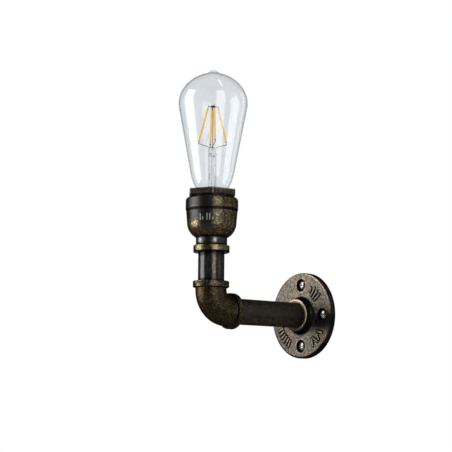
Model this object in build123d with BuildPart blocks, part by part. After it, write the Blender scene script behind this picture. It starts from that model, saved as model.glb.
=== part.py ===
from build123d import *
from math import cos, radians, sin, sqrt, tan
import os

# An industrial wall light built from three-quarter inch pipe and cast fittings.
# The origin is the centre of the flange's back, on the wall. The arm runs from it along -Y
# to an elbow, and the riser stands up from the elbow along +Z, with the bulb on top.
# Threads are drawn as plain cylinders at their mean size, in matching bores.

# ---------------------------------------------------------------- driving dimensions, mm
# pipe and threads
arm_reach = 130.0
riser_show = 28.8
pipe_outer_radius = 13.35
pipe_wall = 2.87
pipe_end_chamfer = 0.6
thread_hold = 12.0
thread_gap = 0.05
bore_spare = 1.0
seat_gap = 0.05

# wall flange
flange_radius = 45.6
flange_thickness = 6.8
flange_edge = 1.4
hub_height = 8.7
hub_wall = 3.8
hub_draft = 2.1
hub_fillet = 2.5
hub_rim_edge = 0.9
screw_circle_radius = 32.5
screw_count = 4
counterbore_radius = 6.6
counterbore_depth = 3.2

# flange screws
screw_head_radius = 4.8
screw_head_height = 2.9
screw_head_dome = 1.6
screw_neck_radius = 2.0
screw_thread_radius = 1.85
screw_length = 12.0
screw_end_chamfer = 0.5
screw_hole_room = 0.5

# elbow
elbow_reach = 29.0
elbow_bend_radius = 20.5
elbow_wall = 2.4
elbow_band_length = 6.5
water_radius = 11.2
band_height = 5.0
band_edge = 0.9
band_root = 1.1

# bell reducer
reducer_height = 55.7
small_band_length = 7.2
neck_top = 15.2
neck_wall = 2.5
bell_root = 0.7
bowl_radius = 17.3
bowl_height = 15.0
bell_wall = 4.0
bell_floor = 4.5
bell_floor_inset = 5.7
bell_taper = 1.1
big_band_length = 12.2
big_band_step = 0.45
big_band_wall = 5.7
big_band_edge = 2.8
cavity_room = 0.25
reducer_thread_depth = 14.0

# the lamp cap's radius, and the walls and clearances of all that wraps around it
cap_radius = 12.9
cap_fit = 0.05
shell_wall = 0.45
shell_room = 0.5
holder_wall = 3.0
holder_room = 0.7
bushing_wall = 3.4

# hexagonal bushing
bushing_thread_length = 10.5
bushing_gap = 2.0
hex_across_flats = 46.0
hex_height = 6.0
hex_turn = 23.3
hex_edge = 0.4

# lampholder
gasket_thickness = 1.0
gasket_width = 2.6
collar_thickness = 3.0
collar_width = 2.7
holder_rim_drop = 3.0
holder_floor_depth = 9.9
holder_floor_thickness = 5.0
holder_shoulder_drop = 2.5
holder_edge = 0.8
shell_lip_width = 3.35
shell_rim_drop = 4.0
cup_inset = 1.0
cup_wall = 1.5
cup_floor = 2.2
cup_edge = 1.2

# what carries the lampholder: disc, hollow nipple, washer, lug and nut
disc_thickness = 1.5
disc_margin = 0.4
nipple_radius = 4.95
nipple_wall = 0.95
nipple_rise = 1.8
nipple_tail = 2.0
nipple_room = 0.15
nut_across_flats = 14.0
nut_thickness = 3.0
washer_thickness = 0.75
washer_width = 2.6
lug_thickness = 0.8
lug_width = 2.8
lug_barrel_radius = 1.5
lug_barrel_length = 4.5
lug_crimp_depth = 4.0

# terminals and contact leaf, with their places on the lampholder's floor
strap_thickness = 0.75
strap_width = 5.4
post_radius = 1.2
post_room = 0.1
post_head_radius = 1.5
post_head_height = 0.25
shell_post = (10.1, -4.9)
centre_post = (-5.0, 0.0)
terminal_x = 8.5
terminal_shank_radius = 1.5
terminal_thread_length = 2.6
terminal_head_radius = 2.9
terminal_head_height = 1.6
terminal_washer_radius = 2.7
terminal_washer_thickness = 0.5
foot_thickness = 0.4
foot_width = 5.0
foot_end_x = -2.9
leaf_thickness = 0.4
leaf_root_x = -8.3
leaf_bend_x = -2.2
leaf_tip_x = 2.8
leaf_root_rise = 0.3
leaf_bend_drop = 0.2
leaf_tip_drop = 0.7
contact_rise = 2.5
contact_gap = 0.05

# leads inside the pipes
lead_radius = 1.0
core_radius = 0.45
core_room = 0.05
lead_spacing = 3.0
lead_bend_radius = 2.2
hook_radius = 2.2
hook_angle = 240
insulation_room = 0.6
lead_strip = 5.0
lead_wall_gap = 2.0
earth_offset = 8.7

# bulb cap, insulator and centre contact
cap_height = 25.0
cap_wall = 0.35
cap_skirt_start = 6.0
cap_shoulder = 1.6
cap_lip_width = 4.0
insulator_flange = 1.9
insulator_top = 1.7
insulator_cone_gap = 1.0
insulator_nose = 0.9
contact_radius = 4.6
contact_thickness = 1.5
contact_edge = 0.6

# bulb glass: the crown and shoulder are arcs, the side is a straight cone
glass_wall = 0.8
neck_gap = 0.1
neck_hold = 7.5
neck_rise = 0.6
neck_fillet = 0.7
heel_width = 3.5
heel_height = 3.0
heel_fillet = 2.6
cone_foot_height = 44.5
cone_angle = 10.7
shoulder_radius = 27.2
crown_radius = 37.3
crown_angle = 56.4
crown_height = 149.1
pip_height = 3.5
pip_base_radius = 7.0
pip_blend = 3.5

# glass stem, its press and exhaust tube
stem_radius = 4.25
stem_wall = 0.9
flare_gap = 0.1
flare_height = 9.0
press_foot = 62.0
press_blend = 3.5
press_height = 8.6
press_width = 9.8
press_thickness = 4.6
exhaust_radius = 1.4
exhaust_wall = 0.45

# filaments and their wires
filament_count = 4
filament_turn = 61.8
filament_radius = 1.05
filament_tab_length = 1.7
filament_tab_width = 0.9
filament_tab_thickness = 0.35
filament_foot_radius = 14.5
filament_foot_height = 75.8
filament_top_radius = 5.1
filament_top_height = 113.5
wire_radius = 0.32
wire_room = 0.05
wire_spacing = 1.9
wire_bend_radius = 1.2
wire_rise = 0.9
weld_gap = 0.2
weld_bead_radius = 0.55
anchor_depth = 6.0
mast_depth = 3.0
hub_bead_radius = 2.1
hub_bead_height = 1.7

# driver inside the cap
driver_gap = 0.1
board_width = 17.0
board_thickness = 1.0
capacitor_radius = 2.4
capacitor_length = 7.5

# ---------------------------------------------------------------- derived sizes and heights
pipe_bore_radius = pipe_outer_radius - pipe_wall
female_radius = pipe_outer_radius + thread_gap
band_radius = female_radius + band_height
flange_depth = flange_thickness + hub_height
hub_rim_radius = female_radius + hub_wall
hub_base_radius = hub_rim_radius + hub_draft
elbow_body_radius = female_radius + elbow_wall
elbow_mouth_y = elbow_reach - arm_reach

shell_inner_radius = cap_radius + cap_fit
shell_outer_radius = shell_inner_radius + shell_wall
holder_cavity_radius = shell_outer_radius + shell_room
holder_radius = holder_cavity_radius + holder_wall
bushing_bore_radius = holder_radius + holder_room
bushing_thread_radius = bushing_bore_radius + bushing_wall
reducer_thread_radius = bushing_thread_radius + thread_gap
cavity_radius = reducer_thread_radius + cavity_room
big_band_radius = reducer_thread_radius + big_band_wall
bell_top_radius = big_band_radius - big_band_step
bell_low_radius = bell_top_radius - bell_taper
bell_floor_radius = cavity_radius - bell_floor_inset

reducer_bottom = elbow_reach + riser_show
reducer_top = reducer_bottom + reducer_height
bell_bottom = reducer_bottom + neck_top
bowl_top = bell_bottom + bowl_height
bell_floor_height = bell_bottom + bell_floor
big_band_bottom = reducer_top - big_band_length

bushing_bottom = reducer_top - bushing_thread_length
hex_bottom = reducer_top + bushing_gap
hex_top = hex_bottom + hex_height
gasket_top = bushing_bottom - seat_gap
gasket_bottom = gasket_top - gasket_thickness
collar_top = gasket_bottom - seat_gap
collar_bottom = collar_top - collar_thickness
holder_rim = hex_top - holder_rim_drop
holder_floor = collar_top - holder_floor_depth
holder_underside = holder_floor - holder_floor_thickness
holder_shoulder = holder_floor - holder_shoulder_drop

disc_bottom = bell_floor_height + seat_gap
disc_top = disc_bottom + disc_thickness
cup_bottom = disc_top + seat_gap
cup_top = holder_shoulder - seat_gap
cup_radius = holder_radius - cup_inset
cup_inner_radius = cup_radius - cup_wall
washer_top = disc_bottom - seat_gap
washer_bottom = washer_top - washer_thickness
lug_top = washer_bottom - seat_gap
lug_bottom = lug_top - lug_thickness
nut_top = lug_bottom - seat_gap
nut_bottom = nut_top - nut_thickness
nipple_top = cup_bottom + cup_floor + nipple_rise
nipple_bottom = nut_bottom - nipple_tail

strap_top = holder_underside - seat_gap
strap_bottom = strap_top - strap_thickness
terminal_washer_top = strap_bottom - seat_gap
terminal_washer_bottom = terminal_washer_top - terminal_washer_thickness
lead_height = terminal_washer_bottom - seat_gap - core_radius
terminal_head_top = lead_height - core_radius - seat_gap
terminal_y = hook_radius
lip_bottom = holder_floor + seat_gap
lip_top = lip_bottom + shell_wall
foot_top = holder_floor + seat_gap + foot_thickness

bulb_tip = holder_floor + contact_rise
contact_top = bulb_tip + contact_thickness
cap_bottom = bulb_tip + cap_skirt_start
cap_rim = bulb_tip + cap_height
cap_inner_radius = cap_radius - cap_wall
neck_radius = cap_inner_radius - neck_gap
neck_bottom = cap_rim - neck_hold
insulator_bottom = contact_top + seat_gap
insulator_lid = cap_bottom + insulator_top
press_bottom = bulb_tip + press_foot
press_top = press_bottom + press_height
filament_foot = bulb_tip + filament_foot_height
filament_top = bulb_tip + filament_top_height
board_bottom = insulator_lid + driver_gap
board_top = neck_bottom - driver_gap

# ---------------------------------------------------------------- planes and axes
# On the riser plane x is the radius and y the height, and its parts are turned on the riser's axis.
riser_plane = Plane.XZ.offset(arm_reach)
riser_axis = Axis((0, -arm_reach, 0), (0, 0, 1))
elbow_mouth_plane = Plane((0, elbow_mouth_y, 0), x_dir=(1, 0, 0), z_dir=(0, 1, 0))


def level(height):
    """The horizontal plane at a height, centred on the riser's axis."""
    return Plane((0, -arm_reach, height))


def around(radius, angle, height):
    """The point at a radius, a bearing in degrees and a height about the riser's axis."""
    return Vector(radius * cos(radians(angle)), radius * sin(radians(angle)) - arm_reach, height)


os.makedirs("parts", exist_ok=True)

# ---------------------------------------------------------------- wall flange
# A casting: a disc against the wall, with a drafted hub that is tapped for the arm.
with BuildPart() as wall_flange:
    with BuildSketch(Plane.XY):
        with BuildLine():
            Polyline(
                (female_radius, 0),
                (flange_radius, 0),
                (flange_radius, -flange_thickness),
                (hub_base_radius, -flange_thickness),
                (hub_rim_radius, -flange_depth),
                (female_radius, -flange_depth),
                close=True,
            )
        make_face()
        fillet(vertices().sort_by_distance((flange_radius, -flange_thickness))[0], flange_edge)
        fillet(vertices().sort_by_distance((hub_base_radius, -flange_thickness))[0], hub_fillet)
        fillet(vertices().sort_by_distance((hub_rim_radius, -flange_depth))[0], hub_rim_edge)
    revolve(axis=Axis.Y)
    with Locations(Plane.XZ.offset(flange_thickness)):
        with PolarLocations(screw_circle_radius, screw_count):
            CounterBoreHole(
                radius=screw_neck_radius + screw_hole_room,
                counter_bore_radius=counterbore_radius,
                counter_bore_depth=counterbore_depth,
            )
wall_flange.part.label = "wall_flange"
export_step(wall_flange.part, "parts/wall_flange.step")

# Pan head machine screws, drawn standing up and then laid on their circle. Their heads sit in
# the counterbores, and from the flange's back on they are threaded, into what is in the wall.
screw_seat = flange_thickness - counterbore_depth + seat_gap
screw_tip = screw_seat - screw_length
screw_head_side = screw_seat + screw_head_height - screw_head_dome
with BuildPart() as one_screw:
    with BuildSketch(Plane.XZ):
        with BuildLine():
            Polyline(
                (0, screw_seat + screw_head_height),
                (0, screw_tip),
                (screw_thread_radius - screw_end_chamfer, screw_tip),
                (screw_thread_radius, screw_tip + screw_end_chamfer),
                (screw_thread_radius, 0),
                (screw_neck_radius, 0),
                (screw_neck_radius, screw_seat),
                (screw_head_radius, screw_seat),
                (screw_head_radius, screw_head_side),
            )
            TangentArc(
                (0, screw_seat + screw_head_height),
                (screw_head_radius, screw_head_side),
                tangent=(1, 0),
            )
        make_face()
    revolve(axis=Axis.Z)

with BuildPart() as flange_screws:
    with Locations(Plane.XZ):
        with PolarLocations(screw_circle_radius, screw_count):
            add(one_screw.part)
flange_screws.part.label = "flange_screws"
export_step(flange_screws.part, "parts/flange_screws.step")

# ---------------------------------------------------------------- pipes
# Each pipe runs a thread's hold into the fittings at its ends, with its ends chamfered.
with BuildPart() as arm_pipe:
    with BuildSketch(Plane.XZ.offset(flange_depth - thread_hold)):
        Circle(pipe_outer_radius)
        Circle(pipe_bore_radius, mode=Mode.SUBTRACT)
    extrude(amount=-elbow_mouth_y - flange_depth + 2 * thread_hold)
    rims = edges().filter_by(GeomType.CIRCLE)
    chamfer(rims.filter_by(lambda rim: rim.radius > pipe_bore_radius + 1), pipe_end_chamfer)
arm_pipe.part.label = "arm_pipe"
export_step(arm_pipe.part, "parts/arm_pipe.step")

with BuildPart() as riser_pipe:
    with BuildSketch(level(elbow_reach - thread_hold)):
        Circle(pipe_outer_radius)
        Circle(pipe_bore_radius, mode=Mode.SUBTRACT)
    extrude(amount=riser_show + 2 * thread_hold)
    rims = edges().filter_by(GeomType.CIRCLE)
    chamfer(rims.filter_by(lambda rim: rim.radius > pipe_bore_radius + 1), pipe_end_chamfer)
riser_pipe.part.label = "riser_pipe"
export_step(riser_pipe.part, "parts/riser_pipe.step")

# ---------------------------------------------------------------- elbow
# A casting: a round body bent through a right angle, with a band at each tapped mouth.
with BuildPart() as elbow:
    with BuildLine() as elbow_route:
        FilletPolyline(
            (0, -arm_reach, elbow_reach),
            (0, -arm_reach, 0),
            (0, elbow_mouth_y, 0),
            radius=elbow_bend_radius,
        )
    with BuildSketch(level(elbow_reach)):
        Circle(elbow_body_radius)
    sweep(path=elbow_route.wires()[0])
    with BuildSketch(level(elbow_reach), elbow_mouth_plane):
        Circle(band_radius)
    extrude(amount=-elbow_band_length)
    band_rims = edges().filter_by(GeomType.CIRCLE).filter_by(
        lambda edge: abs(edge.radius - band_radius) < thread_gap
    )
    fillet(band_rims, band_edge)
    band_roots = edges().filter_by(GeomType.CIRCLE).filter_by(
        lambda edge: abs(edge.radius - elbow_body_radius) < thread_gap
        and min(
            abs(edge.center().Z - elbow_reach + elbow_band_length),
            abs(edge.center().Y - elbow_mouth_y + elbow_band_length),
        ) < thread_gap
    )
    fillet(band_roots, band_root)
    with BuildSketch(level(elbow_reach)):
        Circle(water_radius)
    sweep(path=elbow_route.wires()[0], mode=Mode.SUBTRACT)
    with BuildSketch(level(elbow_reach), elbow_mouth_plane):
        Circle(female_radius)
    extrude(amount=-thread_hold - bore_spare, mode=Mode.SUBTRACT)
elbow.part.label = "elbow"
export_step(elbow.part, "parts/elbow.step")

# ---------------------------------------------------------------- bell reducer
# A casting: small band, neck, a bowl that opens into the bell, and a large band at its mouth.
reducer_thread_top = reducer_bottom + thread_hold + bore_spare
reducer_neck_radius = female_radius + neck_wall
with BuildPart() as bell_reducer:
    with BuildSketch(riser_plane):
        with BuildLine():
            Polyline(
                (reducer_thread_radius, reducer_top),
                (big_band_radius, reducer_top),
                (big_band_radius, big_band_bottom),
                (bell_top_radius, big_band_bottom),
                (bell_low_radius, bowl_top),
            )
            RadiusArc(
                (bell_low_radius, bowl_top), (reducer_neck_radius, bell_bottom), bowl_radius
            )
            Polyline(
                (reducer_neck_radius, bell_bottom),
                (reducer_neck_radius, reducer_bottom + small_band_length),
                (band_radius, reducer_bottom + small_band_length),
                (band_radius, reducer_bottom),
                (female_radius, reducer_bottom),
                (female_radius, reducer_thread_top),
                (water_radius, reducer_thread_top),
                (water_radius, bell_floor_height),
                (bell_floor_radius, bell_floor_height),
            )
            RadiusArc(
                (bell_floor_radius, bell_floor_height),
                (cavity_radius, bowl_top),
                -(bowl_radius - bell_wall),
            )
            Polyline(
                (cavity_radius, bowl_top),
                (cavity_radius, reducer_top - reducer_thread_depth),
                (reducer_thread_radius, reducer_top - reducer_thread_depth),
                (reducer_thread_radius, reducer_top),
            )
        make_face()
        fillet(vertices().sort_by_distance((big_band_radius, reducer_top))[0], big_band_edge)
        fillet(vertices().sort_by_distance((reducer_neck_radius, bell_bottom))[0], bell_root)
        fillet(
            vertices().sort_by_distance(
                (reducer_neck_radius, reducer_bottom + small_band_length)
            )[0],
            band_root,
        )
        fillet(
            vertices().sort_by_distance((band_radius, reducer_bottom + small_band_length))[0],
            band_edge,
        )
        fillet(vertices().sort_by_distance((band_radius, reducer_bottom))[0], band_edge)
    revolve(axis=riser_axis)
bell_reducer.part.label = "bell_reducer"
export_step(bell_reducer.part, "parts/bell_reducer.step")

# ---------------------------------------------------------------- hexagonal bushing
# Screwed into the bell's mouth, where it holds the lampholder down. It stops at any angle.
with BuildPart() as hex_bushing:
    with BuildSketch(level(hex_bottom)):
        RegularPolygon(hex_across_flats / 2, 6, major_radius=False, rotation=hex_turn)
    extrude(amount=hex_height)
    chamfer(edges().group_by(Axis.Z)[-1], hex_edge)
    with BuildSketch(level(bushing_bottom)):
        Circle(bushing_thread_radius)
    extrude(amount=hex_bottom - bushing_bottom)
    with BuildSketch(level(bushing_bottom)):
        Circle(bushing_bore_radius)
    extrude(amount=hex_top - bushing_bottom, mode=Mode.SUBTRACT)
hex_bushing.part.label = "hex_bushing"
export_step(hex_bushing.part, "parts/hex_bushing.step")

# ---------------------------------------------------------------- lampholder
# Fibre ring between the bushing's end and the lampholder's collar.
with BuildPart() as holder_gasket:
    with BuildSketch(level(gasket_bottom)):
        Circle(holder_radius + gasket_width)
        Circle(holder_radius + thread_gap, mode=Mode.SUBTRACT)
    extrude(amount=gasket_thickness)
holder_gasket.part.label = "holder_gasket"
export_step(holder_gasket.part, "parts/holder_gasket.step")

# Moulded body: a deep cavity for the threaded shell, a collar outside, a spigot below.
with BuildPart() as holder_body:
    with BuildSketch(riser_plane):
        with BuildLine():
            Polyline(
                (0, holder_underside),
                (cup_inner_radius - thread_gap, holder_underside),
                (cup_inner_radius - thread_gap, holder_shoulder),
                (holder_radius, holder_shoulder),
                (holder_radius, collar_bottom),
                (holder_radius + collar_width, collar_bottom),
                (holder_radius + collar_width, collar_top),
                (holder_radius, collar_top),
                (holder_radius, holder_rim),
                (holder_cavity_radius, holder_rim),
                (holder_cavity_radius, holder_floor),
                (0, holder_floor),
                close=True,
            )
        make_face()
        fillet(vertices().sort_by_distance((holder_radius, holder_rim))[0], holder_edge)
        fillet(vertices().sort_by_distance((holder_cavity_radius, holder_rim))[0], holder_edge)
    revolve(axis=riser_axis)
    with Locations(level(holder_floor)):
        with Locations(shell_post, centre_post):
            Hole(post_radius + post_room, depth=holder_floor_thickness)
    with BuildSketch(level(holder_underside)):
        with Locations((terminal_x, terminal_y), (-terminal_x, terminal_y)):
            Circle(terminal_shank_radius + thread_gap)
    extrude(amount=terminal_thread_length + seat_gap, mode=Mode.SUBTRACT)
holder_body.part.label = "holder_body"
export_step(holder_body.part, "parts/holder_body.step")

# Lower cup, which closes the terminal chamber and takes the nipple.
with BuildPart() as holder_cup:
    with BuildSketch(riser_plane):
        with BuildLine():
            Polyline(
                (nipple_radius + thread_gap, cup_bottom),
                (cup_radius, cup_bottom),
                (cup_radius, cup_top),
                (cup_inner_radius, cup_top),
                (cup_inner_radius, cup_bottom + cup_floor),
                (nipple_radius + thread_gap, cup_bottom + cup_floor),
                close=True,
            )
        make_face()
        fillet(vertices().sort_by_distance((cup_radius, cup_bottom))[0], cup_edge)
    revolve(axis=riser_axis)
holder_cup.part.label = "holder_cup"
export_step(holder_cup.part, "parts/holder_cup.step")

# Threaded shell, with a lip that the shell terminal's post holds to the floor.
with BuildPart() as screw_shell:
    with BuildSketch(riser_plane):
        with BuildLine():
            Polyline(
                (shell_inner_radius - shell_lip_width, lip_bottom),
                (shell_outer_radius, lip_bottom),
                (shell_outer_radius, holder_rim - shell_rim_drop),
                (shell_inner_radius, holder_rim - shell_rim_drop),
                (shell_inner_radius, lip_top),
                (shell_inner_radius - shell_lip_width, lip_top),
                close=True,
            )
        make_face()
    revolve(axis=riser_axis)
    with BuildSketch(level(lip_bottom)):
        with Locations(shell_post):
            Circle(post_radius + post_room)
    extrude(amount=shell_wall, mode=Mode.SUBTRACT)
screw_shell.part.label = "screw_shell"
export_step(screw_shell.part, "parts/screw_shell.step")

# ---------------------------------------------------------------- terminals
# Each is a strap under the floor, with a post riveted through it and a screw for its lead.
shell_strap_middle = (Vector(*shell_post) + Vector(terminal_x, terminal_y)) / 2
with BuildPart() as shell_terminal:
    with BuildSketch(level(strap_bottom)):
        SlotCenterPoint(shell_strap_middle, shell_post, strap_width)
        with Locations((terminal_x, terminal_y)):
            Circle(terminal_shank_radius + post_room, mode=Mode.SUBTRACT)
    extrude(amount=strap_thickness)
    with BuildSketch(level(strap_bottom)):
        with Locations(shell_post):
            Circle(post_radius)
    extrude(amount=lip_top + seat_gap - strap_bottom)
    with BuildSketch(level(lip_top + seat_gap)):
        with Locations(shell_post):
            Circle(post_head_radius)
    extrude(amount=post_head_height)
shell_terminal.part.label = "shell_terminal"
export_step(shell_terminal.part, "parts/shell_terminal.step")

centre_strap_middle = (Vector(*centre_post) + Vector(-terminal_x, terminal_y)) / 2
with BuildPart() as centre_terminal:
    with BuildSketch(level(strap_bottom)):
        SlotCenterPoint(centre_strap_middle, centre_post, strap_width)
        with Locations((-terminal_x, terminal_y)):
            Circle(terminal_shank_radius + post_room, mode=Mode.SUBTRACT)
    extrude(amount=strap_thickness)
    with BuildSketch(level(strap_bottom)):
        with Locations(centre_post):
            Circle(post_radius)
    extrude(amount=foot_top - strap_bottom)
    with BuildSketch(level(foot_top - foot_thickness)):
        with Locations(((leaf_root_x + foot_end_x) / 2, 0)):
            Rectangle(foot_end_x - leaf_root_x, foot_width)
    extrude(amount=foot_thickness)
    with BuildSketch(level(foot_top)):
        with Locations(centre_post):
            Circle(post_head_radius)
    extrude(amount=post_head_height)
centre_terminal.part.label = "centre_terminal"
export_step(centre_terminal.part, "parts/centre_terminal.step")

with BuildPart() as terminal_screws:
    with BuildSketch(level(terminal_head_top)):
        with Locations((terminal_x, terminal_y), (-terminal_x, terminal_y)):
            Circle(terminal_shank_radius)
    extrude(amount=holder_underside + terminal_thread_length - terminal_head_top)
    with BuildSketch(level(terminal_head_top - terminal_head_height)):
        with Locations((terminal_x, terminal_y), (-terminal_x, terminal_y)):
            Circle(terminal_head_radius)
    extrude(amount=terminal_head_height)
terminal_screws.part.label = "terminal_screws"
export_step(terminal_screws.part, "parts/terminal_screws.step")

with BuildPart() as terminal_washers:
    with BuildSketch(level(terminal_washer_bottom)):
        with Locations((terminal_x, terminal_y), (-terminal_x, terminal_y)):
            Circle(terminal_washer_radius)
            Circle(terminal_shank_radius + post_room, mode=Mode.SUBTRACT)
    extrude(amount=terminal_washer_thickness)
terminal_washers.part.label = "terminal_washers"
export_step(terminal_washers.part, "parts/terminal_washers.step")

# Contact leaf: it rises from its fold, at the foot's outer end, and arches under the bulb.
leaf_crest = bulb_tip - contact_gap - leaf_thickness / 2
leaf_root = (leaf_root_x, foot_top + leaf_root_rise)
leaf_bend = (leaf_bend_x, leaf_crest - leaf_bend_drop)
with BuildPart() as centre_contact:
    with BuildSketch(riser_plane):
        with BuildLine():
            leaf_slope = Line(leaf_root, leaf_bend)
            TangentArc(
                leaf_bend, (leaf_tip_x, leaf_crest - leaf_tip_drop), tangent=leaf_slope % 1
            )
        trace(line_width=leaf_thickness)
    extrude(amount=foot_width / 2, both=True)
centre_contact.part.label = "centre_contact"
export_step(centre_contact.part, "parts/centre_contact.step")

# ---------------------------------------------------------------- what carries the lampholder
# A steel disc on the bell's floor, and a hollow nipple through disc and cup, clamped from below.
with BuildPart() as support_disc:
    with BuildSketch(level(disc_bottom)):
        Circle(bell_floor_radius - disc_margin)
        Circle(nipple_radius + nipple_room, mode=Mode.SUBTRACT)
    extrude(amount=disc_thickness)
support_disc.part.label = "support_disc"
export_step(support_disc.part, "parts/support_disc.step")

with BuildPart() as holder_nipple:
    with BuildSketch(level(nipple_bottom)):
        Circle(nipple_radius)
        Circle(nipple_radius - nipple_wall, mode=Mode.SUBTRACT)
    extrude(amount=nipple_top - nipple_bottom)
holder_nipple.part.label = "holder_nipple"
export_step(holder_nipple.part, "parts/holder_nipple.step")

with BuildPart() as lock_washer:
    with BuildSketch(level(washer_bottom)):
        Circle(nipple_radius + washer_width)
        Circle(nipple_radius + nipple_room, mode=Mode.SUBTRACT)
    extrude(amount=washer_thickness)
lock_washer.part.label = "lock_washer"
export_step(lock_washer.part, "parts/lock_washer.step")

# Ring lug under the washer, with a crimp barrel that hangs beside the nut.
with BuildPart() as earth_lug:
    with BuildSketch(level(lug_bottom)):
        Circle(nipple_radius + lug_width)
        with Locations((0, -earth_offset / 2)):
            Rectangle(2 * lug_barrel_radius, earth_offset)
        with Locations((0, -earth_offset)):
            Circle(lug_barrel_radius)
        Circle(nipple_radius + nipple_room, mode=Mode.SUBTRACT)
    extrude(amount=lug_thickness)
    with BuildSketch(level(lug_bottom)):
        with Locations((0, -earth_offset)):
            Circle(lug_barrel_radius)
    extrude(amount=-lug_barrel_length)
    with BuildSketch(level(lug_bottom - lug_barrel_length)):
        with Locations((0, -earth_offset)):
            Circle(core_radius + core_room)
    extrude(amount=lug_crimp_depth, mode=Mode.SUBTRACT)
earth_lug.part.label = "earth_lug"
export_step(earth_lug.part, "parts/earth_lug.step")

with BuildPart() as nipple_locknut:
    with BuildSketch(level(nut_bottom)):
        RegularPolygon(nut_across_flats / 2, 6, major_radius=False)
        Circle(nipple_radius + thread_gap, mode=Mode.SUBTRACT)
    extrude(amount=nut_thickness)
nipple_locknut.part.label = "nipple_locknut"
export_step(nipple_locknut.part, "parts/nipple_locknut.step")

# ---------------------------------------------------------------- leads
# Live and neutral come down the nipple side by side, round the elbow and along the arm.
# Each is stripped at both ends: a hook round its terminal screw, a straight end at the wall.
insulation_end_x = terminal_x - terminal_washer_radius - insulation_room
lead_end_y = -lead_wall_gap - lead_strip
for name, side in (("lead_live", -1), ("lead_neutral", 1)):
    lead_x = side * lead_spacing / 2
    with BuildPart() as lead:
        with BuildLine() as lead_route:
            FilletPolyline(
                (side * insulation_end_x, -arm_reach, lead_height),
                (lead_x, -arm_reach, lead_height),
                (lead_x, -arm_reach, 0),
                (lead_x, lead_end_y, 0),
                radius=(lead_bend_radius, elbow_bend_radius),
            )
        route = lead_route.wires()[0]
        with BuildSketch(Plane(origin=route @ 0, z_dir=route % 0)):
            Circle(lead_radius)
        sweep(path=route)
        with BuildSketch(Plane.XZ.offset(-lead_end_y)):
            with Locations((lead_x, 0)):
                Circle(core_radius)
        extrude(amount=-lead_strip)
        with BuildLine(level(lead_height)) as hook_route:
            bare = Line((side * insulation_end_x, 0), (side * terminal_x, 0))
            JernArc(bare @ 1, bare % 1, hook_radius, side * hook_angle)
        with BuildSketch(Plane(origin=route @ 0, z_dir=(side, 0, 0))):
            Circle(core_radius)
        sweep(path=hook_route.wires()[0])
    lead.part.label = name
    export_step(lead.part, f"parts/{name}.step")

# The earth lead leaves the lug's barrel and keeps to the outside of the bend.
lug_mouth = lug_bottom - lug_barrel_length
with BuildPart() as lead_earth:
    with BuildLine() as earth_route:
        FilletPolyline(
            (0, -arm_reach - earth_offset, lug_mouth - seat_gap),
            (0, -arm_reach - earth_offset, -earth_offset),
            (0, lead_end_y, -earth_offset),
            radius=elbow_bend_radius + earth_offset,
        )
    route = earth_route.wires()[0]
    with BuildSketch(Plane(origin=route @ 0, z_dir=route % 0)):
        Circle(lead_radius)
    sweep(path=route)
    with BuildSketch(Plane.XZ.offset(-lead_end_y)):
        with Locations((0, -earth_offset)):
            Circle(core_radius)
    extrude(amount=-lead_strip)
    with BuildSketch(level(lug_mouth - seat_gap)):
        with Locations((0, -earth_offset)):
            Circle(core_radius)
    extrude(amount=lug_crimp_depth)
lead_earth.part.label = "lead_earth"
export_step(lead_earth.part, "parts/lead_earth.step")

# ---------------------------------------------------------------- bulb cap
# Thin metal shell, whose lower lip grips the black glass insulator round the centre contact.
with BuildPart() as bulb_cap:
    with BuildSketch(riser_plane):
        with BuildLine():
            Polyline(
                (cap_radius, cap_rim),
                (cap_radius, cap_bottom),
                (cap_radius - cap_lip_width, cap_bottom),
                (cap_radius - cap_lip_width, cap_bottom + cap_wall),
                (cap_inner_radius, cap_bottom + cap_wall),
                (cap_inner_radius, cap_rim),
                close=True,
            )
        make_face()
        fillet(vertices().sort_by_distance((cap_radius, cap_bottom))[0], cap_shoulder)
        fillet(
            vertices().sort_by_distance((cap_inner_radius, cap_bottom + cap_wall))[0],
            cap_shoulder - cap_wall,
        )
    revolve(axis=riser_axis)
bulb_cap.part.label = "bulb_cap"
export_step(bulb_cap.part, "parts/bulb_cap.step")

lip_radius = cap_radius - cap_lip_width - seat_gap
with BuildPart() as cap_insulator:
    with BuildSketch(riser_plane):
        with BuildLine():
            Polyline(
                (0, insulator_bottom),
                (contact_radius + insulator_nose, insulator_bottom),
                (lip_radius, cap_bottom - insulator_cone_gap),
                (lip_radius, cap_bottom + cap_wall + seat_gap),
                (lip_radius + insulator_flange, cap_bottom + cap_wall + seat_gap),
                (lip_radius + insulator_flange, insulator_lid),
                (0, insulator_lid),
                close=True,
            )
        make_face()
    revolve(axis=riser_axis)
cap_insulator.part.label = "cap_insulator"
export_step(cap_insulator.part, "parts/cap_insulator.step")

with BuildPart() as cap_contact:
    with BuildSketch(level(bulb_tip)):
        Circle(contact_radius)
    extrude(amount=contact_thickness)
    fillet(edges().group_by(Axis.Z)[0], contact_edge)
cap_contact.part.label = "cap_contact"
export_step(cap_contact.part, "parts/cap_contact.step")

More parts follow.
